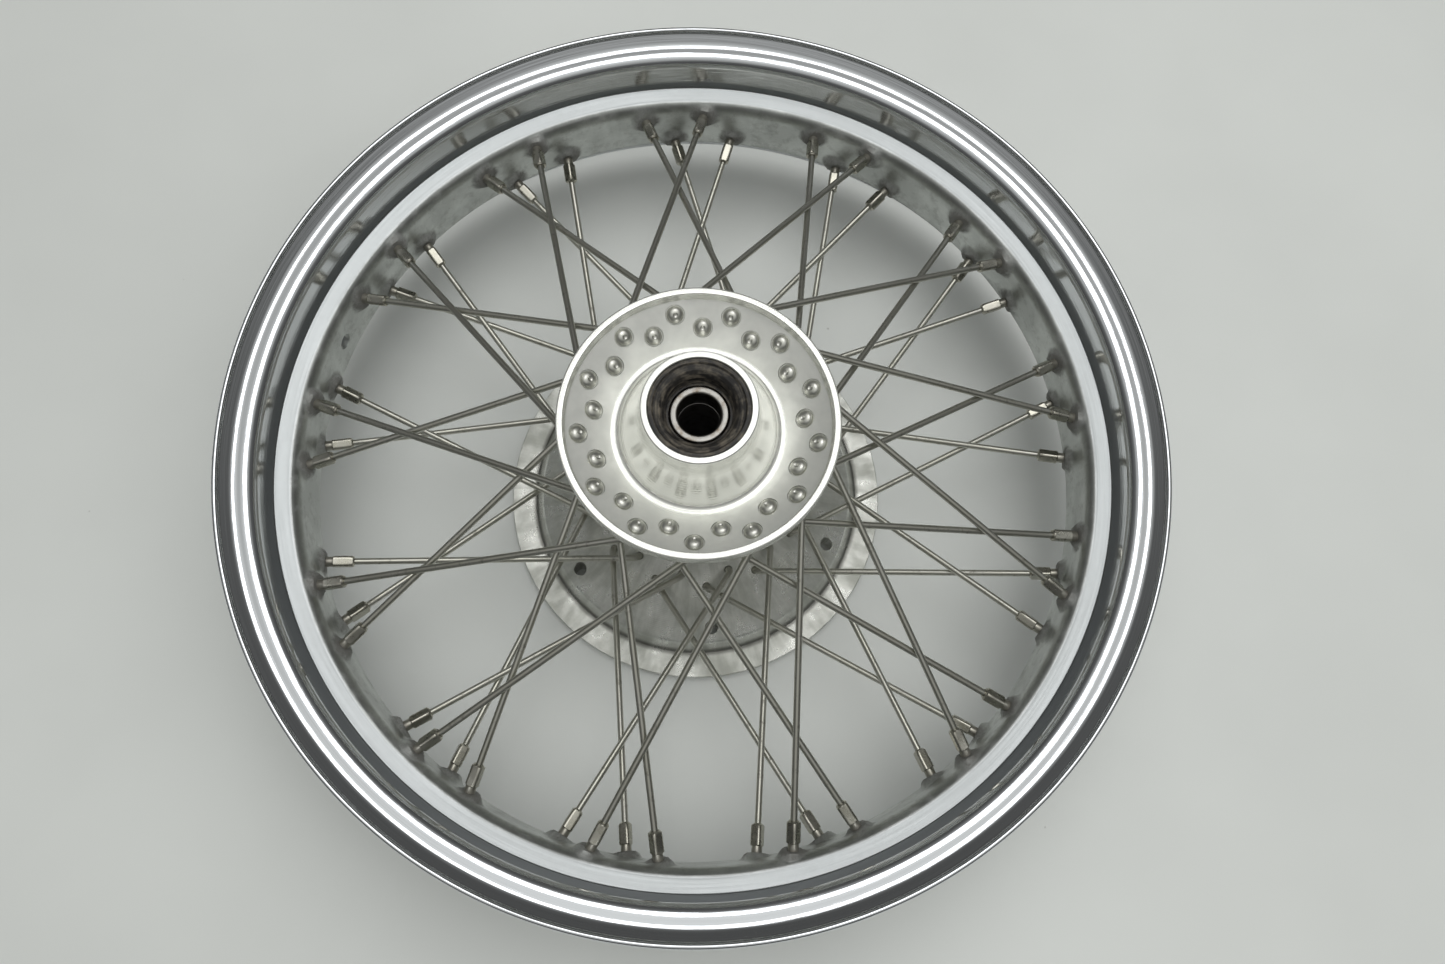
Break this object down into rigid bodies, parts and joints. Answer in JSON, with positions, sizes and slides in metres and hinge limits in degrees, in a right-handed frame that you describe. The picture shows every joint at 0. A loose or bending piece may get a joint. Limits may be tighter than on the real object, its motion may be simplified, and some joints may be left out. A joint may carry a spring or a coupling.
{
  "type": "motorcycle wheel",
  "caption": "Bare wire-laced motorcycle wheel with a chromed steel drop-centre rim and an alloy disc-brake hub turning on sealed ball bearings.",
  "frame": {"origin": "on the axle's centre line, in the rim's centre plane, midway between its two lips", "axes": "+Z along the axle, towards the plain side of the hub with the long nose; -Z is the brake disc side, on which the wheel lies. +X and +Y lie in the rim's plane, set by the lacing: the first spoke group is 9.5 degrees from +X."},
  "size_m": [0.4612, 0.4612, 0.16],
  "materials": {
    "rim_chrome": "bright, with a satin shoulder",
    "hub_alloy": "turned",
    "spoke_plating": "dull zinc plate",
    "nipple_nickel": "nickel plate",
    "race_steel": "ground",
    "ball_steel": "polished",
    "cage_brass": "satin",
    "seal_black": "matt",
    "seal_steel": "pressed",
    "collar_steel": "turned"
  },
  "bodies": {
    "axle_core": {"upper_bearing_inner_race": "race_steel", "lower_bearing_inner_race": "race_steel", "distance_collar": "collar_steel"},
    "wheel": {"rim": "rim_chrome", "hub": "hub_alloy", "spokes_upper_inner_ring": "spoke_plating", "spokes_upper_outer_ring": "spoke_plating", "spokes_lower_inner_ring": "spoke_plating", "spokes_lower_outer_ring": "spoke_plating", "nipples_upper_inner_ring": "nipple_nickel", "nipples_upper_outer_ring": "nipple_nickel", "nipples_lower_inner_ring": "nipple_nickel", "nipples_lower_outer_ring": "nipple_nickel", "upper_bearing_outer_race": "race_steel", "upper_bearing_outer_shield": "seal_black", "upper_bearing_inner_shield": "seal_black", "upper_seal_case": "seal_steel", "upper_seal_rubber": "seal_black", "upper_seal_spring": "seal_steel", "lower_bearing_outer_race": "race_steel", "lower_bearing_outer_shield": "seal_black", "lower_bearing_inner_shield": "seal_black", "lower_seal_case": "seal_steel", "lower_seal_rubber": "seal_black", "lower_seal_spring": "seal_steel"},
    "upper_cage": {"upper_bearing_balls": "ball_steel", "upper_bearing_cage": "cage_brass"},
    "lower_cage": {"lower_bearing_balls": "ball_steel", "lower_bearing_cage": "cage_brass"}
  },
  "joints": [
    {"name": "wheel_spin", "type": "hinge", "parent": "axle_core", "child": "wheel", "pos_m": [0, 0, 0], "axis": [0, 0, 1], "continuous": true},
    {"name": "upper_cage_spin", "type": "hinge", "parent": "axle_core", "child": "upper_cage", "pos_m": [0, 0, 0.0695], "axis": [0, 0, 1], "continuous": true},
    {"name": "lower_cage_spin", "type": "hinge", "parent": "axle_core", "child": "lower_cage", "pos_m": [0, 0, -0.0548], "axis": [0, 0, 1], "continuous": true}
  ],
  "couplings": [
    {"joint": "upper_cage_spin", "follows": "wheel_spin", "ratio": 0.6185},
    {"joint": "lower_cage_spin", "follows": "wheel_spin", "ratio": 0.6185}
  ]
}
